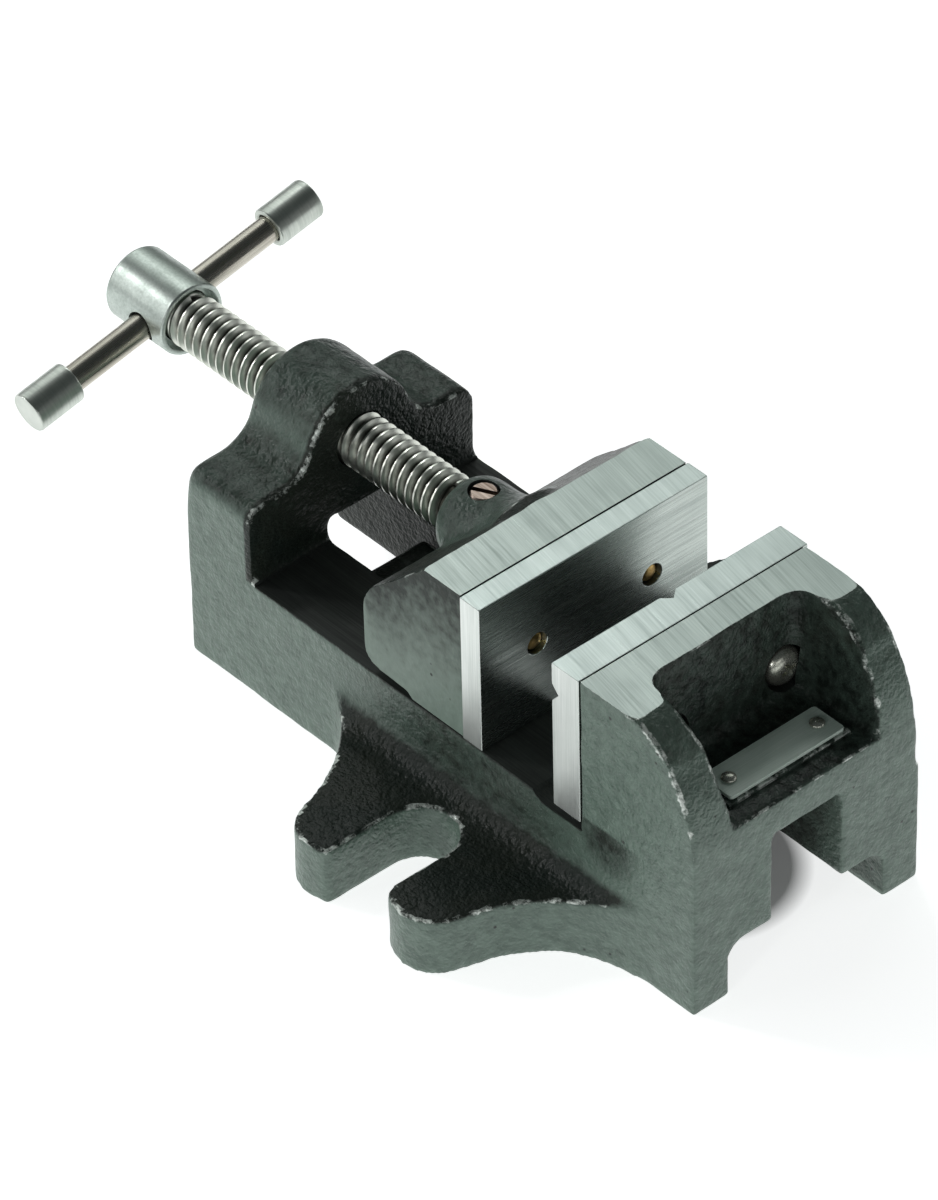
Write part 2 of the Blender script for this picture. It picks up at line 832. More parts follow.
@dataclass
class BaseCasting:
    """The fixed casting: bed, rear block with the screw's hump, fixed jaw with a recess, two slotted lugs."""

    low: Vector = field(default_factory=lambda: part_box("base_casting")[0])
    high: Vector = field(default_factory=lambda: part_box("base_casting")[1])
    half_width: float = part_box("fixed_jaw_plate")[1].y
    bed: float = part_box("fixed_jaw_plate")[0].z - GAP
    seat_x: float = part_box("fixed_jaw_plate")[1].x + GAP
    screw_z: float = middle_of("spindle_hub").z
    block_length: float = 21.6 * MM
    shoulder: float = 50.3 * MM
    shoulder_radius: float = 4.5 * MM
    hump_radius: float = 14.4 * MM
    hump_fillet: float = 9.0 * MM
    bore_radius: float = 6.7 * MM
    slot_half: float = 9.6 * MM
    tunnel_top: float = 35.8 * MM
    ledge: float = 12.7 * MM
    channel_half: float = 21.6 * MM
    channel_round: float = 3.6 * MM
    jaw_crown: float = 11.75 * MM  # from the plate's seat to the end of the flat top
    jaw_crown_radius: float = 18.3 * MM
    jaw_brow_radius: float = 36.0 * MM
    jaw_brow_end: float = 39.6 * MM
    jaw_crown_turn: float = 52.0
    jaw_far_short: float = 0.8 * MM  # how far the plate overhangs the casting at the far end
    recess_back: float = 8.0 * MM  # behind the plate's seat, at the top
    recess_lean: float = 2.0 * MM
    recess_floor: float = 44.4 * MM
    recess_half: float = 19.0 * MM
    pad_height: float = 0.9 * MM
    pad_size: tuple[float, float] = (10.4 * MM, 34.0 * MM)
    spotface: float = 5.4 * MM
    lug_height: float = 14.5 * MM
    lug_slot_half: float = 8.3 * MM
    lug_slot_end: float = 37.6 * MM
    cove: float = 6.5 * MM
    hollow: tuple[float, float] = (79.0 * MM, 31.0 * MM)  # X and Z of the darkest part of the base's side
    stock: float = 0.7 * MM  # what the rough casting has to spare on a machined face
    skin: float = 0.9 * MM
    wander: float = 0.2 * MM
    finishes: Finishes | None = None

    def rear_block(self) -> bmesh.types.BMesh:
        """The block that carries the screw: square shoulders, and a round hump over the bore.

        Returns:
            Its rough shape.
        """
        reach = self.hump_radius + self.hump_fillet
        drop = self.screw_z - (self.shoulder + self.hump_fillet)
        across = math.sqrt(reach ** 2 - drop ** 2)
        meet = math.degrees(math.atan2(-drop, across))
        corner = (self.half_width - self.shoulder_radius, self.shoulder - self.shoulder_radius)
        right = arc(corner, self.shoulder_radius, 0, 90, 8)
        right += arc((across, self.shoulder + self.hump_fillet), self.hump_fillet, 270, 180 + meet, 12)
        right += arc((0, self.screw_z), self.hump_radius, meet, 90, 18)[1:-1]
        left = [(-y, z) for y, z in reversed(right)]
        foot = self.bed - PAST
        crown = (0, self.screw_z + self.hump_radius)
        outline = [(self.half_width, foot), *right, crown, *left, (-self.half_width, foot)]
        back = self.low.x + self.stock / 4
        bm = prism(outline, end_view, back, self.low.x + self.block_length)
        rim = [
            e for e in bm.edges
            if all(abs(v.co.x - back) < GAP for v in e.verts) and max(v.co.z for v in e.verts) > self.bed
            and min(v.co.z for v in e.verts) > foot + GAP
        ]
        bevel(bm, rim, 3 * MM, 5)
        return bm

    def fixed_jaw(self) -> bmesh.types.BMesh:
        """The fixed jaw: an upright seat, a flat top and a curved front.

        Returns:
            Its rough shape.
        """
        top = self.high.z + self.stock
        front = self.high.x - self.stock / 4
        meet = 90 - self.jaw_crown_turn
        crown = (self.seat_x + self.jaw_crown, self.high.z - self.jaw_crown_radius + self.stock)
        curve = arc(crown, self.jaw_crown_radius, 90, meet, 10)
        curve += arc((front - self.jaw_brow_radius, self.jaw_brow_end), self.jaw_brow_radius, meet, 0, 10)[1:]
        foot = self.bed - PAST
        back = self.seat_x - self.stock
        outline = [(back, foot), (back, top), (crown[0] - 4 * MM, top), *curve, (front, foot)]
        return prism(outline, side_view, -self.half_width, self.half_width - self.jaw_far_short)

    def lug_outline(self) -> list[tuple[float, float]]:
        """One lug seen from above, from the base's side out to its two round lobes.

        Returns:
            The corners, as X and the distance from the middle.
        """
        x = self.slot_x
        reach = self.high.y - self.stock / 4
        half = self.lug_slot_half
        root = self.half_width - 3 * MM
        rear = [(x - 46 * MM, root), (x - 43 * MM, self.half_width + 0.2 * MM), (x - 38.5 * MM, 34.2 * MM)]
        rear += [(x - 35 * MM, 37.1 * MM), (x - 31.5 * MM, 41 * MM), (x - 28.5 * MM, 45.4 * MM)]
        rear += [(x - 26 * MM, 50 * MM), (x - 24 * MM, 54.8 * MM)]
        rear += arc((x - 14.5 * MM, reach - 8.5 * MM), 8.7 * MM, 168, 90, 10)
        rear += [(x - half - 1 * MM, reach - 0.2 * MM), (x - half, reach - 1.5 * MM)]
        slot = arc((x, self.lug_slot_end + half), half, 180, 360, 24)
        front = [(x + half, reach - 4 * MM), (x + half + 0.6 * MM, reach - 2.2 * MM)]
        front += arc((x + 15.5 * MM, reach - 10 * MM), 10 * MM, 112, 22, 12)
        front += [(x + 27.5 * MM, 49.4 * MM), (x + 30 * MM, 44.9 * MM), (x + 33.5 * MM, 40.2 * MM)]
        front += [(x + 37 * MM, 37.2 * MM), (x + 41 * MM, 35.2 * MM), (x + 47 * MM, 33.3 * MM)]
        front += [(x + 53 * MM, self.half_width + 0.3 * MM), (x + 62 * MM, root)]
        return rear + slot + front

    @property
    def slot_x(self) -> float:
        """The middle of the lugs' slots."""
        return self.seat_x - 34.4 * MM

    def lug(self, side: int) -> list[bmesh.types.BMesh]:
        """One lug and the cove that blends its top into the base's side.

        Args:
            side: -1 for the near side and 1 for the far side.

        Returns:
            The lug and the cove.
        """
        outline = [(x, side * y) for x, y in self.lug_outline()]
        plate = prism(outline, top_view, -self.stock, self.lug_height)
        wall, top, reach = self.half_width, self.lug_height, self.cove
        curve = arc((wall + reach, top + reach), reach, 270, 180, 10)
        inner, under = wall - 2 * MM, top - 3 * MM
        section = [(inner, under), (wall + reach, under), *curve, (inner, top + reach)]
        along = [x for x, _ in outline]
        sweep = prism([(side * y, z) for y, z in section], end_view, min(along), max(along))
        blend = Piece("cove", sweep).keep(prism(outline, top_view, 0, top + 2 * reach)).shape()
        return [plate, blend]

    def recess(self) -> bmesh.types.BMesh:
        """The pocket in front of the fixed jaw: a nearly upright back wall, a floor, and flaring walls.

        Returns:
            The cutter.
        """
        above = self.high.z + 2 * PAST
        back = self.seat_x + self.recess_back
        lean = self.recess_lean / (self.high.z - self.recess_floor)
        foot = back + self.recess_lean
        floor = self.recess_floor
        outline = [(back - lean * 2 * PAST, above), (foot, floor + 3.4 * MM)]
        outline += arc((foot + 3.4 * MM, floor + 3.4 * MM), 3.4 * MM, 190, 270, 7)
        outline += [(self.high.x + 2 * PAST, floor), (self.high.x + 2 * PAST, above)]
        bm = prism(outline, side_view, -self.recess_half, self.recess_half)
        for v in bm.verts:
            flare = 0.05 * (v.co.x - back) + 0.10 * (v.co.z - floor)
            v.co.y += math.copysign(flare, v.co.y)
        upright = [
            e for e in bm.edges
            if all(v.co.x < foot + GAP for v in e.verts) and abs(e.verts[0].co.y - e.verts[1].co.y) < 5 * MM
        ]
        bevel(bm, upright, 4.2 * MM, 6)
        return bm

    def rough(self) -> Piece:
        """The rough casting, before its skin and before any machining.

        Returns:
            The piece, whose finishes are enamel, milled and ground iron.
        """
        body = bar(
            (self.low.x + self.stock / 4, -self.half_width, -self.stock),
            (self.high.x - self.stock / 4, self.half_width, self.bed + self.stock),
        )
        iron = self.finishes
        piece = Piece("base_iron", body, iron.enamel, iron.milled, iron.ground_iron)
        piece.join(self.rear_block()).join(self.fixed_jaw())
        for side in (-1, 1):
            for shape in self.lug(side):
                piece.join(shape)
        ends = (self.low.x - PAST, self.high.x + PAST)
        piece.cut(bar((ends[0], -self.slot_half, -PAST), (ends[1], self.slot_half, self.tunnel_top)))
        half, r = self.channel_half, self.channel_round
        crown = arc((half - r, self.ledge - r), r, 0, 90, 6)
        arch = crown + [(-y, z) for y, z in reversed(crown)]
        piece.cut(prism([(half, -PAST), *arch, (-half, -PAST)], end_view, *ends))
        piece.cut(self.recess())
        return piece

    def machine(self, piece: Piece) -> None:
        """Machines the bed, the seat, the jaw's top, the feet, the bore and the spotfaces.

        Args:
            piece: the casting.
        """
        past = self.half_width + PAST
        above = self.high.z + 2 * PAST
        bed_start = self.low.x + self.block_length + 0.9 * MM
        piece.cut(bar((bed_start, -past, self.bed), (self.seat_x, past, above)), BaseFace.MILLED)
        jaw_top = bar((self.seat_x - PAST, -past, self.high.z), (self.high.x + PAST, past, above))
        piece.cut(jaw_top, BaseFace.GROUND)
        outer = self.high.y + PAST
        feet = bar((self.low.x - PAST, -outer, -PAST), (self.high.x + PAST, outer, 0))
        piece.cut(feet, BaseFace.MILLED)
        relief = [(self.seat_x - 17 * MM, self.bed + PAST), *arc(
            (self.seat_x - 11 * MM, self.bed + 4.4 * MM), 6 * MM, 180, 270, 10
        ), (self.seat_x + 0.01 * MM, self.bed - 1.6 * MM), (self.seat_x + 0.01 * MM, self.bed + PAST)]
        piece.cut(prism(relief, side_view, -past, past), BaseFace.MILLED)
        bore_length = self.block_length + 2 * PAST
        tools = [rod((self.low.x - PAST, 0, self.screw_z), X_AXIS, self.bore_radius, bore_length)]
        for name in ("fixed_jaw_screw_near", "fixed_jaw_screw_far"):
            middle = middle_of(name)
            start = (self.seat_x + self.recess_back - GAP, middle.y, middle.z)
            tools.append(rod(start, X_AXIS, self.spotface, 3.2 * MM))
        piece.cut(gather(tools), BaseFace.MILLED)

    def pad(self) -> bmesh.types.BMesh:
        """The raised pad under the name plate.

        Returns:
            The pad.
        """
        middle = middle_of("name_plate")
        deep, wide = self.pad_size
        near = (middle.x - deep / 2, -wide / 2, self.recess_floor - 1.5 * MM)
        far = (middle.x + deep / 2, wide / 2, self.recess_floor + self.pad_height)
        return bar(near, far, 0.35 * MM)

    def dirt(self, point: Vector, normal: Vector) -> float:
        """How much dirt lies at a point: on top faces, in the recess, and on the rear block over the bed.

        Args:
            point: the place.
            normal: the surface's direction.

        Returns:
            The dirt, from 0 to 1.
        """
        upward = min(max((normal.z - 0.12) / 0.5, 0), 1)
        ahead = point.x - self.seat_x - self.recess_back
        over = point.z - self.recess_floor
        wall = self.recess_half + 0.05 * ahead + 0.10 * over + 0.6 * MM
        if ahead > -0.5 * MM and over > -0.5 * MM and abs(point.y) < wall:
            return 0.66
        if ahead > 0 and over > -6 * MM:
            return 0.4 * upward
        inside = abs(point.y) < self.channel_half + 0.6 * MM and MM < point.z < self.bed + 6 * MM
        if inside and abs(normal.x) < 0.7:
            return 0.9 - 0.6 * min(max((point.x - self.high.x) / (20 * MM) + 1, 0), 1)
        if abs(point.x - self.low.x - self.block_length) < 2 * MM and point.z > self.bed:
            return 0.85
        if point.z > self.bed + 3 * MM:
            return 0.55 * upward
        beside_lug = min(max(1.25 - abs(point.x - self.slot_x) / (44 * MM), 0), 1)
        hollow = math.hypot(point.x - self.hollow[0], point.z - self.hollow[1]) / (12 * MM)
        over_lug = 0.6 * beside_lug if point.z > self.lug_height else 0
        return max(upward, over_lug, 0.72 * max(1 - hollow ** 2, 0))

    def build(self) -> None:
        """Builds the casting and puts it on the base."""
        piece = self.rough()
        piece.cast(self.skin * (1.0), 3, self.wander, 1.7)
        piece.join(self.pad())
        self.machine(piece)
        piece.weather(self.dirt, (BaseFace.MILLED,))
        piece.done(Body.BASE, Slot.CAST_IRON, "base_casting")


# ---- moving jaw ----


@dataclass
class MovingJaw:
    """The sliding casting: a broad jaw, the boss that holds the screw's neck, and a tongue in the slot."""

    low: Vector = field(default_factory=lambda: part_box("moving_jaw_casting")[0])
    high: Vector = field(default_factory=lambda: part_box("moving_jaw_casting")[1])
    screw_z: float = middle_of("spindle_hub").z
    bed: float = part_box("moving_jaw_plate")[0].z
    depth: float = 31.0 * MM
    boss_length: float = 3.8 * MM
    boss_radius: float = 10.0 * MM
    bore_radius: float = 6.7 * MM
    top_strip: float = 11.4 * MM
    back_radius: float = 12.0 * MM
    back_top: float = 45.8 * MM  # where the upright back starts to round over
    tongue_half: float = 9.1 * MM
    tongue_top: float = 26.0 * MM
    set_screw_radius: float = 3.2 * MM
    stock: float = 0.7 * MM
    skin: float = 0.85 * MM
    wander: float = 0.16 * MM
    finishes: Finishes | None = None

    @property
    def front(self) -> float:
        """The face that the plate is screwed to."""
        return self.high.x

    @property
    def back(self) -> float:
        """The upright back of the jaw."""
        return self.front - self.depth

    def profile(self) -> list[tuple[float, float]]:
        """The jaw from the side: flat top strip, bevelled and rounded back, relieved heel.

        Returns:
            The corners, as X and Z.
        """
        foot = self.bed - self.stock
        top = self.high.z
        strip = self.front - self.top_strip
        outline = [(self.front + self.stock, foot), (self.front + self.stock, top + self.stock)]
        outline += [(strip + 0.3 * MM, top + self.stock), (strip - 0.5 * MM, top - 0.5 * MM)]
        outline += arc((self.back + self.back_radius, self.back_top), self.back_radius, 132, 180, 12)
        outline += [(self.back, self.bed + 6 * MM), (self.back + 0.7 * MM, self.bed + 3.4 * MM)]
        outline += [(self.back + 3 * MM, self.bed + 1.6 * MM), (self.back + 14 * MM, self.bed + 0.9 * MM)]
        outline += [(self.back + 15 * MM, foot)]
        return outline

    def boss(self) -> bmesh.types.BMesh:
        """The boss round the screw's neck, flaring into the jaw's back.

        Returns:
            A closed round shape.
        """
        r = self.boss_radius
        rim = [(0, 0), (0, r - 2.6 * MM), (0.4 * MM, r - 1.9 * MM), (1.5 * MM, r - 0.9 * MM)]
        neck = [(3.2 * MM, r - 0.2 * MM), (5 * MM, r), (9 * MM, r), (12 * MM, r + 0.3 * MM)]
        root = [(15 * MM, r + 1.3 * MM), (17.5 * MM, r + 3 * MM), (20 * MM, r + 6 * MM)]
        profile = [*rim, *neck, *root, (22 * MM, r + 6 * MM), (22 * MM, 0)]
        return turned(profile, (self.back - self.boss_length, 0, self.screw_z), X_AXIS, 96)

    def build(self) -> None:
        """Builds the casting and puts it on the moving jaw."""
        half = self.high.y
        shape = prism(self.profile(), side_view, -half - self.stock, half + self.stock)
        iron = self.finishes
        piece = Piece("moving_jaw_iron", shape, iron.enamel, iron.ground_iron, iron.flat_enamel, iron.milled)
        piece.join(self.boss())
        tongue_low = (self.low.x + 0.2 * MM, -self.tongue_half, self.low.z + 0.3 * MM)
        piece.join(bar(tongue_low, (self.front, self.tongue_half, self.tongue_top)))
        web_low = (self.back + 2 * MM, 0.3 * MM - self.tongue_half, self.low.z + 2 * MM)
        piece.join(bar(web_low, (self.front - 1 * MM, self.tongue_half - 0.3 * MM, self.bed + 8 * MM)))
        piece.cast(self.skin * (1.0), 3, self.wander, 4.1)
        self.machine(piece)
        piece.weather(self.dirt, (JawFace.GROUND, JawFace.MILLED))
        piece.done(Body.MOVING_JAW, Slot.CAST_IRON, "moving_jaw_casting")

    def dirt(self, point: Vector, normal: Vector) -> float:
        """How much dirt lies at a point: most on the jaw's sloping back, least on the boss.

        Args:
            point: the place.
            normal: the surface's direction.

        Returns:
            The dirt, from 0 to 1.
        """
        away = math.hypot(point.y, point.z - self.screw_z)
        on_boss = away < self.boss_radius + 5 * MM and point.z > self.screw_z - 2 * MM
        return min(max((normal.z + 0.1) / 0.5, 0), 1) * (0.45 if on_boss else 0.8)

    def machine(self, piece: Piece) -> None:
        """Machines the top, the plate's seat, the slides, the sides, the bore and the set screw's hole.

        Args:
            piece: the casting.
        """
        half = self.high.y
        outer = half + PAST
        above = self.high.z + PAST
        rear, front = self.low.x - PAST, self.front + 2 * PAST
        piece.cut(bar((rear, -outer, self.high.z), (front, outer, above)), JawFace.GROUND)
        piece.cut(bar((self.front, -outer, -PAST), (front, outer, above)), JawFace.MILLED)
        sides = [bar((rear, y, -PAST), (front, y + PAST, above)) for y in (-outer, half)]
        piece.cut(gather(sides), JawFace.LINISHED)
        inner = self.tongue_half + 0.4 * MM
        slides = [
            bar((self.back - 1 * MM, low, self.bed - PAST), (front, high, self.bed))
            for low, high in ((-outer, -inner), (inner, outer))
        ]
        piece.cut(gather(slides), JawFace.MILLED)
        bore_start = (self.back - self.boss_length - PAST, 0, self.screw_z)
        bore_length = self.boss_length + PAST + 12 * MM
        piece.cut(rod(bore_start, X_AXIS, self.bore_radius, bore_length), JawFace.MILLED)
        hole_start = (middle_of("boss_set_screw").x, 0, self.screw_z)
        piece.cut(rod(hole_start, Z_AXIS, self.set_screw_radius + GAP, 30 * MM), JawFace.MILLED)


# ---- jaw plates ----


@dataclass
class JawPlates:
    """The two ground steel plates: the fixed one with level and upright V grooves."""

    edge: float = 0.28 * MM
    groove_half: float = 2.5 * MM
    groove_depth: float = 2.1 * MM
    groove_z: float = 61.2 * MM
    hole_radius: float = 2.7 * MM
    countersink: float = 0.12 * MM
    finishes: Finishes | None = None

    def groove(self, view: Placing, face: float, middle: float, low: float, high: float) -> bmesh.types.BMesh:
        """A cutter for a V groove: a bar of diamond section.

        Args:
            view: the view that its section is drawn in.
            face: X of the plate's working face.
            middle: where the groove's middle lies, up or across.
            low: where the cutter starts.
            high: where it ends.

        Returns:
            The cutter.
        """
        half, deep = self.groove_half, self.groove_depth
        corners = ((0, half), (deep, 0), (0, -half), (-deep, 0))
        return prism([(face + a, middle + b) for a, b in corners], view, low, high)

    def plate(self, node: str) -> tuple[Piece, Vector, Vector]:
        """A plate with broken edges, the size of its CAD node.

        Args:
            node: the CAD node.

        Returns:
            The piece and the corners of its box.
        """
        low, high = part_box(node)
        finishes = (self.finishes.ground_face, self.finishes.ground_top, self.finishes.ground_end)
        return Piece(f"{node}_steel", bar(low, high, self.edge), *finishes), low, high

    def finish(self, piece: Piece, body: Body, node: str) -> None:
        """Gives the top and the ends their own marks and puts the plate on its body.

        Args:
            piece: the plate.
            body: the body that it rides on.
            node: the CAD node that it stands for.
        """
        piece.paint(PlateFace.TOP, lambda polygon: polygon.normal.z > 0.6)
        piece.paint(PlateFace.END, lambda polygon: abs(polygon.normal.y) > 0.9)
        piece.done(body, Slot.GROUND, node)

    def build(self) -> None:
        """Builds both plates."""
        fixed, low, high = self.plate("fixed_jaw_plate")
        fixed.cut(self.groove(side_view, low.x, self.groove_z, -2 * high.y, 2 * high.y))
        fixed.cut(self.groove(top_view, low.x, 0, 0, 2 * high.z))
        tools = []
        for name in ("fixed_jaw_screw_near", "fixed_jaw_screw_far"):
            middle = middle_of(name)
            tools.append(rod((high.x - 4.5 * MM, middle.y, middle.z), X_AXIS, self.hole_radius, 10 * MM))
        fixed.cut(gather(tools))
        self.finish(fixed, Body.BASE, "fixed_jaw_plate")

        moving, low, high = self.plate("moving_jaw_plate")
        r, flare, depth = self.hole_radius, self.countersink, high.x - low.x
        profile = [(-PAST, 0), (-PAST, r), (depth - flare, r), (depth + flare, r + 2 * flare)]
        profile += [(depth + PAST, r + 2 * flare), (depth + PAST, 0)]
        tools = []
        for name in ("moving_jaw_screw_near", "moving_jaw_screw_far"):
            middle = middle_of(name)
            tools.append(turned(profile, (low.x, middle.y, middle.z), X_AXIS))
        moving.cut(gather(tools))
        self.finish(moving, Body.MOVING_JAW, "moving_jaw_plate")


# ---- screws, rivets and the name plate ----


@dataclass
class Fasteners:
    """The plate screws, the boss's set screw, and the guide's screws with their washers."""

    radius: float = 2.4 * MM
    head_radius: float = 4.6 * MM
    head_height: float = 2.9 * MM
    cross_turn: float = math.radians(20)
    cross_half: float = 0.62 * MM
    cross_reach: float = 2.9 * MM
    cross_depth: float = 1.8 * MM
    slot_half: float = 0.6 * MM
    guide_head: float = 2.6 * MM
    guide_shank: float = 2.1 * MM
    washer_hole: float = 2.7 * MM
    finishes: Finishes | None = None

    def cross(self, centre: Vector) -> list[bmesh.types.BMesh]:
        """The two wedge-shaped arms of a cross recess in a head that faces +X.

        Args:
            centre: the middle of the head's top.

        Returns:
            The cutters.
        """
        half, reach = self.cross_half, self.cross_reach
        arms = []
        for quarter in (0, 1):
            arm = bar((-self.cross_depth, -half, -reach), (2 * MM, half, reach))
            for v in arm.verts:
                if v.co.x < 0:
                    v.co.z *= 0.35
                    v.co.y *= 0.8
            spin = Matrix.Rotation(self.cross_turn + quarter * math.pi / 2, 4, "X")
            bmesh.ops.transform(arm, matrix=Matrix.Translation(centre) @ spin, verts=arm.verts)
            arms.append(arm)
        return arms

    def pan_screw(self, node: str) -> None:
        """A cross-recessed pan-head screw of the fixed jaw.

        Args:
            node: its CAD node.
        """
        low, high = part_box(node)
        middle = middle_of(node)
        length = high.x - low.x
        top, r = self.head_height, self.head_radius
        dome = [(length - top, r - 0.15 * MM), (length - top + 0.2 * MM, r), (length - top + 0.9 * MM, r)]
        curve = ((0.55, 0.95), (0.78, 0.82), (0.93, 0.6), (1, 0.3))  # shares of the head's height and radius
        dome += [(length - top * (1 - t), r * w) for t, w in curve]
        profile = [(0, 0), (0, self.radius - GAP), (GAP, self.radius), (length - top, self.radius), *dome]
        start = (low.x, middle.y, middle.z)
        piece = Piece(f"{node}_zinc", turned([*profile, (length, 0)], start, X_AXIS, 48), self.finishes.zinc)
        for arm in self.cross(Vector((high.x, middle.y, middle.z))):
            piece.cut(arm)
        piece.done(Body.BASE, Slot.ZINC, node)

    def plate_screw(self, node: str) -> None:
        """A yellow screw of the moving jaw, whose domed end shows in the plate.

        Args:
            node: its CAD node.
        """
        low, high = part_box(node)
        middle = middle_of(node)
        length = high.x - low.x
        r = self.radius
        end = [(length - 0.9 * MM, r), (length - 0.5 * MM, r - 0.35 * MM), (length - 0.25 * MM, r - 0.5 * MM)]
        end += [(length - 0.1 * MM, 0.6 * r), (length, 0.3 * r), (length, 0)]
        profile = [(0, 0), (0, r - GAP), (GAP, r), *end]
        shape = turned(profile, (low.x, middle.y, middle.z), X_AXIS, 40)
        Piece(f"{node}_zinc", shape, self.finishes.yellow_zinc).done(Body.MOVING_JAW, Slot.YELLOW_ZINC, node)

    def set_screw(self) -> None:
        """The slotted set screw in the boss, with its dog point in the neck's groove."""
        low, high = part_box("boss_set_screw")
        middle = middle_of("boss_set_screw")
        r = (high.x - low.x) / 2
        length = high.z - low.z
        point = 1.5 * MM
        profile = [(0, 0), (0, point - 0.2 * MM), (0.2 * MM, point), (2 * MM, point), (2 * MM, r - 0.3 * MM)]
        profile += [(2.3 * MM, r), (length - 0.5 * MM, r), (length, r - 0.5 * MM), (length, 0)]
        shape = turned(profile, (middle.x, 0, low.z), Z_AXIS, 48)
        piece = Piece("boss_set_screw_steel", shape, self.finishes.oiled_steel)
        slot = bar((-self.slot_half, -5 * MM, -1.7 * MM), (self.slot_half, 5 * MM, 2 * MM))
        place = Matrix.Translation((middle.x, 0, high.z)) @ Matrix.Rotation(math.radians(-62), 4, "Z")
        bmesh.ops.transform(slot, matrix=place, verts=slot.verts)
        piece.cut(slot)
        piece.done(Body.MOVING_JAW, Slot.TURNED, "boss_set_screw")

    def guide_screw(self, label: str) -> None:
        """A slotted screw under the guide plate, and its split washer.

        Args:
            label: which screw, rear or front.
        """
        low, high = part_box(f"guide_screw_{label}")
        middle = middle_of(f"guide_screw_{label}")
        length = high.z - low.z
        r, head, shank = (high.y - low.y) / 2, self.guide_head, self.guide_shank
        profile = [(0, 0), (0, r - 0.9 * MM), (0.35 * MM, r - 0.2 * MM), (0.8 * MM, r), (head, r)]
        profile += [(head, shank), (length - 0.4 * MM, shank), (length, shank - 0.4 * MM), (length, 0)]
        shape = turned(profile, (middle.x, 0, low.z), Z_AXIS)
        screw = Piece(f"guide_screw_{label}_zinc", shape, self.finishes.zinc)
        left, right = middle.x - self.slot_half, middle.x + self.slot_half
        screw.cut(bar((left, -5 * MM, -PAST), (right, 5 * MM, low.z + 1.2 * MM)))
        screw.done(Body.MOVING_JAW, Slot.ZINC, f"guide_screw_{label}")
        low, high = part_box(f"guide_lock_washer_{label}")
        r, thick = (high.y - low.y) / 2, high.z - low.z
        blank = rod((middle.x, 0, low.z), Z_AXIS, r, thick, 0.15 * MM)
        ring = Piece(f"guide_lock_washer_{label}_zinc", blank, self.finishes.zinc)
        ring.cut(rod((middle.x, 0, low.z - PAST), Z_AXIS, self.washer_hole, 2 * PAST))
        gap = bar((0, -0.35 * MM, -PAST), (2 * r, 0.35 * MM, PAST))
        place = Matrix.Translation((middle.x, 0, low.z)) @ Matrix.Rotation(math.radians(25), 4, "X")
        bmesh.ops.transform(gap, matrix=place, verts=gap.verts)
        ring.cut(gap)
        ring.done(Body.MOVING_JAW, Slot.ZINC, f"guide_lock_washer_{label}")

    def build(self) -> None:
        """Builds every fastener."""
        for side in ("near", "far"):
            self.pan_screw(f"fixed_jaw_screw_{side}")
            self.plate_screw(f"moving_jaw_screw_{side}")
        self.set_screw()
        for end in ("rear", "front"):
            self.guide_screw(end)


@dataclass
class NamePlate:
    """The blank sheet on the pad and its two domed rivets."""

    corner: float = 0.9 * MM
    rim: float = 0.15 * MM
    shank: float = 0.75 * MM
    crown: float = 0.8 * MM  # height of a rivet's dome
    finishes: Finishes | None = None

    def sheet(self) -> None:
        """Builds the sheet."""
        low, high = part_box("name_plate")
        bm = bar(low, high)
        upright = [e for e in bm.edges if abs(e.verts[0].co.z - e.verts[1].co.z) > GAP]
        bevel(bm, upright, self.corner, 5)
        top = max(bm.faces, key=lambda face: face.calc_center_median().z)
        bevel(bm, top.edges, self.rim, 2)
        Piece("name_plate_sheet", bm, self.finishes.sheet).done(Body.BASE, Slot.ALUMINIUM, "name_plate")

    def rivet(self, node: str) -> None:
        """Builds one domed rivet.

        Args:
            node: its CAD node.
        """
        low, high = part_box(node)
        middle = middle_of(node)
        length = high.z - low.z
        r, rise, foot = (high.y - low.y) / 2, self.crown, length - self.crown
        angles = [math.radians(9 * i) for i in range(10)]
        dome = [(foot + rise * math.sin(t), r * math.cos(t)) for t in angles]
        profile = [(0, 0), (0, self.shank), (foot, self.shank), *dome, (length, 0)]
        shape = turned(profile, (middle.x, middle.y, low.z), Z_AXIS, 40)
        Piece(f"{node}_dome", shape, self.finishes.zinc).done(Body.BASE, Slot.TURNED, node)

    def build(self) -> None:
        """Builds the sheet and its rivets."""
        self.sheet()
        for side in ("near", "far"):
            self.rivet(f"name_plate_rivet_{side}")


# ---- spindle and handle ----


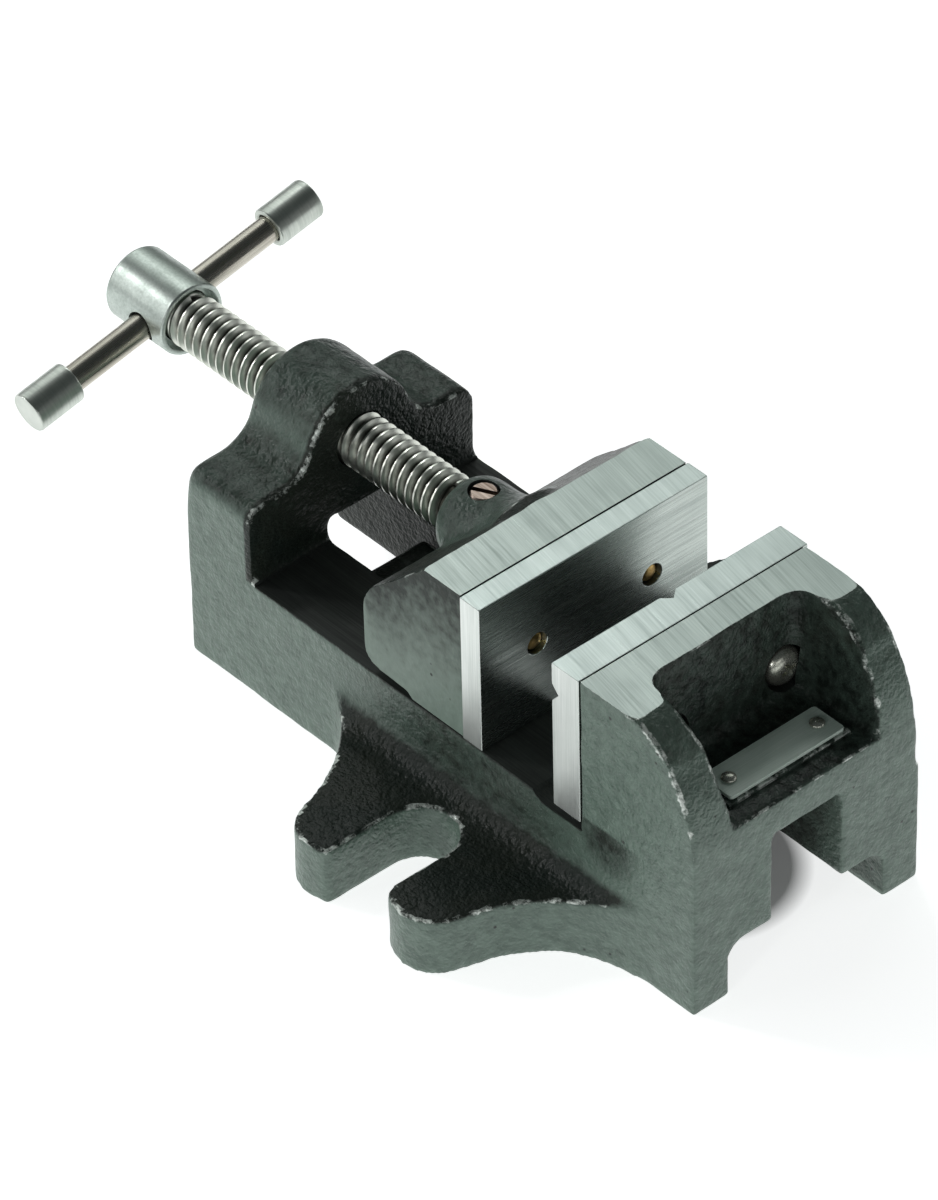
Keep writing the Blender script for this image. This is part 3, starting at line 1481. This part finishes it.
@dataclass
class Spindle:
    """The screw: a 1/2-10 right-hand thread, its plain neck in the boss, its tail in the hub, and the hub."""

    radius: float = 6.35 * MM
    depth: float = 1.35 * MM
    pitch: float = 2.54 * MM
    sides: int = 48
    samples: int = 12  # points across one pitch
    root_flat: float = 0.12  # the flat root and the flanks, as shares of the pitch
    flank: float = 0.72
    neck: float = 4.8 * MM
    neck_groove: float = 1.4 * MM
    tail: float = 5.9 * MM
    counterbore: float = 7.4 * MM
    counterbore_depth: float = 2.2 * MM
    handle_hole: float = 3.7 * MM
    pin_radius: float = 1.2 * MM
    height: float = middle_of("spindle_hub").z  # of the screw's axis
    along: Vector = field(default_factory=handle_axis)
    hub_low: Vector = field(default_factory=lambda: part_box("spindle_hub")[0])
    hub_high: Vector = field(default_factory=lambda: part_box("spindle_hub")[1])
    screw_low: Vector = field(default_factory=lambda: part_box("spindle_screw")[0])
    screw_high: Vector = field(default_factory=lambda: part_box("spindle_screw")[1])
    finishes: Finishes | None = None

    def ridge(self, phase: float) -> float:
        """The thread's radius: straight flanks between a small flat crest and root.

        Args:
            phase: the place within one pitch, from 0 to 1.

        Returns:
            The radius there.
        """
        climb = (1 - abs(2 * phase - 1) - self.root_flat) / self.flank
        return self.radius - self.depth * (1 - min(max(climb, 0), 1))

    def thread(self, start: float, length: float) -> bmesh.types.BMesh:
        """The thread as one closed shell.

        Args:
            start: where it begins, as X.
            length: its length.

        Returns:
            A right-hand helix, closed at both ends.
        """
        turns = round((length - self.pitch) / self.pitch)
        bm = bmesh.new()
        phases = [i / self.samples for i in range(self.samples + 1)]
        line = [bm.verts.new((start + self.pitch * p, 0, self.height + self.ridge(p))) for p in phases]
        edges = [bm.edges.new(pair) for pair in zip(line, line[1:])]
        bmesh.ops.spin(
            bm, geom=line + edges, cent=(0, 0, self.height), axis=X_AXIS,
            dvec=(self.pitch / self.sides, 0, 0), angle=2 * math.pi * turns, steps=turns * self.sides,
            use_merge=False,
        )
        bmesh.ops.remove_doubles(bm, verts=bm.verts, dist=0.02 * MM)
        for end in (start, start + length):
            rim = [e for e in bm.edges if e.is_boundary and abs(e.verts[0].co.x - end) < 2 * self.pitch]
            made = bmesh.ops.extrude_edge_only(bm, edges=rim)["geom"]
            tips = [v for v in made if isinstance(v, bmesh.types.BMVert)]
            bmesh.ops.pointmerge(bm, verts=tips, merge_co=(end, 0, self.height))
        bmesh.ops.recalc_face_normals(bm, faces=bm.faces)
        return bm

    def crossing(self, radius: float) -> bmesh.types.BMesh:
        """A long bar where the handle passes through.

        Args:
            radius: its radius.

        Returns:
            The cutter.
        """
        middle = Vector((middle_of("handle_rod").x, 0, self.height))
        return rod(middle - self.along * 20 * MM, self.along, radius, 40 * MM)

    def build_screw(self) -> None:
        """Builds the screw."""
        start = self.hub_high.x - self.counterbore_depth + GAP
        screw_x = middle_of("boss_set_screw").x
        neck_start = start + self.pitch * math.floor((screw_x - 9 * MM - start) / self.pitch)
        steel = ThreadSteel("cut_thread_steel", self.height, self.radius - self.depth, self.radius).build()
        tail_length = start + 1 * MM - self.screw_low.x
        tail = Piece("tail", rod((self.screw_low.x, 0, self.height), X_AXIS, self.tail, tail_length, GAP))
        tail.cut(self.crossing(self.handle_hole))
        waist = self.neck - self.neck_groove
        half = 2 * MM
        end = self.screw_high.x
        at = neck_start - 2 * MM
        profile = [(0, 0), (0, self.neck), (screw_x - half - at, self.neck), (screw_x - half - at, waist)]
        profile += [(screw_x + half - at, waist), (screw_x + half - at, self.neck)]
        profile += [(end - 0.4 * MM - at, self.neck), (end - at, self.neck - 0.4 * MM), (end - at, 0)]
        neck = turned(profile, (at, 0, self.height), X_AXIS)
        shape = gather([self.thread(start, neck_start - start + self.pitch), tail.shape(), neck])
        Piece("spindle_screw_steel", shape, steel).done(Body.SPINDLE, Slot.TURNED, "spindle_screw")

    def build_hub(self) -> None:
        """Builds the hub and its pin."""
        length = self.hub_high.x - self.hub_low.x
        r = (self.hub_high.y - self.hub_low.y) / 2
        mouth, deep, socket = self.counterbore, self.counterbore_depth, self.tail + GAP
        profile = [(0, 0), (0, r - 0.9 * MM), (0.25 * MM, r - 0.35 * MM), (0.9 * MM, r)]
        profile += [(length - 0.55 * MM, r), (length - 0.15 * MM, r - 0.2 * MM), (length, r - 0.45 * MM)]
        profile += [(length, mouth + 0.2 * MM), (length - 0.25 * MM, mouth), (length - deep, mouth)]
        bottom = self.screw_low.x - self.hub_low.x - GAP
        profile += [(length - deep, socket), (bottom, socket), (bottom, 0)]
        shape = turned(profile, (self.hub_low.x, 0, self.height), X_AXIS, 96)
        piece = Piece("spindle_hub_steel", shape, self.finishes.hub)
        piece.cut(self.crossing(self.handle_hole))
        piece.done(Body.SPINDLE, Slot.TURNED, "spindle_hub")

    def build_pin(self) -> None:
        """Builds the pin that holds the hub on the tail, driven in from below."""
        down = X_AXIS.cross(self.along) * -1
        start = Vector((middle_of("hub_pin").x, 0, self.height)) - down * 3 * MM
        length = (self.hub_high.y - self.hub_low.y) / 2 + 2.5 * MM
        shape = rod(start, down, self.pin_radius, length, 0.25 * MM, 32)
        Piece("hub_pin_steel", shape, self.finishes.zinc).done(Body.SPINDLE, Slot.ZINC, "hub_pin")

    def build(self) -> None:
        """Builds the screw, the hub and the pin."""
        self.build_screw()
        self.build_hub()
        self.build_pin()


@dataclass
class Handle:
    """The sliding bar and its two pressed-on knobs."""

    length: float = 82.0 * MM
    rod_radius: float = 3.1 * MM
    knob_radius: float = 4.76 * MM
    knob_length: float = 12.2 * MM
    socket: float = 8.0 * MM
    along: Vector = field(default_factory=handle_axis)
    middle: Vector = field(default_factory=lambda: middle_of("handle_rod"))
    finishes: Finishes | None = None

    def steel(self, name: str, dark: str, light: str, roughness: float, lay: Lay) -> bpy.types.Material:
        """Steel with its marks round or along the handle's own axis.

        Args:
            name: the material's name.
            dark: its darker tone.
            light: its lighter tone.
            roughness: its mean roughness.
            lay: which way the marks run.

        Returns:
            The material.
        """
        tilt = -math.atan2(self.along.z, self.along.y)
        return MachinedSteel(
            name=name, dark=dark, light=light, lay=lay, roughness=roughness, marks=0.5 * MM,
            relief=0.005 * MM, turn=(tilt, 0, 0),
        ).build()

    def knob(self, side: int, label: str, steel: bpy.types.Material) -> None:
        """Builds one knob: chamfered at both ends, its outer end slightly crowned.

        Args:
            side: -1 for the near side and 1 for the far side.
            label: the side's name.
            steel: its material.
        """
        out = self.along * side
        length, r, hole = self.knob_length, self.knob_radius, self.rod_radius + GAP
        inner = self.middle + out * (self.length / 2 - length)
        profile = [(self.socket + GAP, 0), (self.socket + GAP, hole), (0.3 * MM, hole), (0, hole + 0.3 * MM)]
        profile += [(0, r - 0.5 * MM), (0.15 * MM, r - 0.15 * MM), (0.5 * MM, r), (length - 0.6 * MM, r)]
        profile += [(length - 0.2 * MM, r - 0.2 * MM), (length - 0.04 * MM, r - 0.65 * MM)]
        profile += [(length, 0.4 * r), (length, 0)]
        piece = Piece(f"handle_knob_{label}_steel", turned(profile, inner, out, 80), steel)
        piece.done(Body.HANDLE, Slot.TURNED, f"handle_knob_{label}")

    def build(self) -> None:
        """Builds the bar and both knobs."""
        drawn = self.steel("drawn_steel_bar", "#A09B8F", "#CFCBC1", 0.24, Lay.ALONG_Y)
        faced = self.steel("turned_and_faced_steel", "#AFB6AF", "#D3D8D1", 0.33, Lay.ROUND_Y)
        reach = self.length / 2 - self.knob_length + self.socket
        shape = rod(self.middle - self.along * reach, self.along, self.rod_radius, 2 * reach, GAP, 64)
        Piece("handle_rod_steel", shape, drawn).done(Body.HANDLE, Slot.TURNED, "handle_rod")
        for side, label in ((-1, "near"), (1, "far")):
            self.knob(side, label, faced)


@dataclass
class Guide:
    """The plate that slides under the rails and holds the moving jaw down."""

    edge: float = 0.6 * MM
    hole: float = 2.7 * MM
    finishes: Finishes | None = None

    def build(self) -> None:
        """Builds the plate."""
        low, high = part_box("guide_plate")
        piece = Piece("guide_plate_steel", bar(low, high, self.edge), self.finishes.milled)
        tools = []
        for name in ("guide_screw_rear", "guide_screw_front"):
            tools.append(rod((middle_of(name).x, 0, low.z - PAST), Z_AXIS, self.hole, 3 * PAST))
        piece.cut(gather(tools))
        piece.done(Body.MOVING_JAW, Slot.GROUND, "guide_plate")


# ---- studio ----


@dataclass
class Studio:
    """A pale floor, soft light from above and low from the front, and the camera."""

    azimuth: float = math.radians(49.16)
    elevation: float = math.radians(40.27)
    roll: float = math.radians(-1.39)
    distance: float = 1.7569
    lens: float = 250.5
    sensor: float = 36.0
    target: Vector = field(default_factory=lambda: Vector((2.65 * MM, -0.6 * MM, 29.6 * MM)))
    floor_half: float = 0.9
    surroundings: str = "#353A3A"  # a dim room, which the metal mirrors
    backdrop: str = "#F4F5F5"  # what the camera sees past the floor
    finishes: Finishes | None = None

    def floor(self) -> None:
        """Lays the floor."""
        bm = bmesh.new()
        bmesh.ops.create_grid(bm, x_segments=8, y_segments=8, size=self.floor_half)
        mesh = bpy.data.meshes.new("studio_floor")
        bm.to_mesh(mesh)
        bm.free()
        mesh.materials.append(StudioPaper().build())
        mesh.transform(Matrix.Translation((0, 0, -0.02 * MM)))  # clear of the feet, which stand at zero
        floor = bpy.data.objects.new("studio_floor", mesh)
        bpy.context.scene.collection.objects.link(floor)

    def softbox(
        self, name: str, azimuth: float, elevation: float, distance: float, size: tuple[float, float],
        glow: float, colour: str = "#FFFFFF"
    ) -> None:
        """Hangs one softbox that faces the vise.

        Args:
            name: the light's name.
            azimuth: its direction in degrees, 0 being the near side and 90 the fixed jaw's end.
            elevation: degrees above the floor.
            distance: metres from the vise.
            size: its width and height in metres.
            glow: how bright its surface is, 1 being as bright as white paper in the picture.
            colour: its sRGB hex colour.
        """
        out = heading(math.radians(azimuth), math.radians(elevation))
        light = bpy.data.lights.new(name, "AREA")
        light.shape = "RECTANGLE"
        light.size, light.size_y = size
        light.energy = 4 * glow * size[0] * size[1]
        light.color = linear(colour)[:3]
        lamp = bpy.data.objects.new(name, light)
        lamp.location = self.target + out * distance
        lamp.rotation_mode = "QUATERNION"
        lamp.rotation_quaternion = (-out).to_track_quat("-Z", "Y")
        bpy.context.scene.collection.objects.link(lamp)

    def lights(self) -> None:
        """Hangs the lights and sets the surroundings: bright sides, a dim ceiling."""
        self.softbox("rear_panel", 229, 42, 1.3, (1.3, 0.7), 0.9, "#F5FBF7")
        self.softbox("left_panel", 325, 20, 1.2, (0.9, 0.45), 1.5)
        self.softbox("right_panel", 78, 16, 1.4, (0.8, 0.35), 1.0)
        self.softbox("front_panel", 30, 22, 1.3, (1.0, 0.5), 0.45)
        self.softbox("back_panel", 272, 22, 1.3, (1.0, 0.5), 0.5)
        self.softbox("far_panel", 150, 22, 1.3, (1.2, 0.5), 0.5)
        self.softbox("left_lamp", 300, 34, 1.2, (0.12, 0.12), 32.0)
        self.softbox("rear_lamp", 236, 50, 1.3, (0.1, 0.1), 22.0)
        self.softbox("near_lamp", 20, 24, 1.3, (0.12, 0.12), 16.0)
        world = bpy.data.worlds.new("studio")
        bpy.context.scene.world = world
        world.use_nodes = True
        tree = world.node_tree
        background = tree.nodes["Background"]
        seen = add_node(tree, Kind.RAY, out="Is Camera Ray")
        ends = {FIRST: linear(self.surroundings), SECOND: linear(self.backdrop)}
        tone = add_node(tree, Kind.MIX, ends, {0: seen}, **COLOURS)
        tree.links.new(tone, background.inputs["Color"])

    def camera(self) -> None:
        """Sets up the camera."""
        back = heading(self.azimuth, self.elevation)
        right = Vector((math.cos(self.azimuth), math.sin(self.azimuth), 0))
        up = back.cross(right)
        level = Matrix((right, up, back)).transposed()
        spin = Matrix.Rotation(self.roll, 3, "Z")
        data = bpy.data.cameras.new("camera")
        data.lens = self.lens
        data.sensor_width = self.sensor
        data.clip_start, data.clip_end = 0.1, 20
        view = bpy.data.objects.new("camera", data)
        view.rotation_mode = "QUATERNION"
        view.rotation_quaternion = (level @ spin).to_quaternion()
        view.location = self.target + back * self.distance
        bpy.context.scene.collection.objects.link(view)
        bpy.context.scene.camera = view

    def build(self) -> None:
        """Builds the studio."""
        self.floor()
        self.lights()
        self.camera()
        view = bpy.context.scene.view_settings
        view.view_transform = "Standard"
        view.look = "None"
        view.exposure = 0.0


def main() -> None:
    """Builds every sub-assembly in order, then the studio."""
    logging.basicConfig(level=logging.INFO, format="%(name)s: %(message)s")
    finishes = Finishes()
    for maker in (BaseCasting, MovingJaw, JawPlates, Fasteners, NamePlate, Spindle, Handle, Guide, Studio):
        LOG.info("building %s", maker.__name__)
        maker(finishes=finishes).build()


if __name__ == "__main__":
    main()
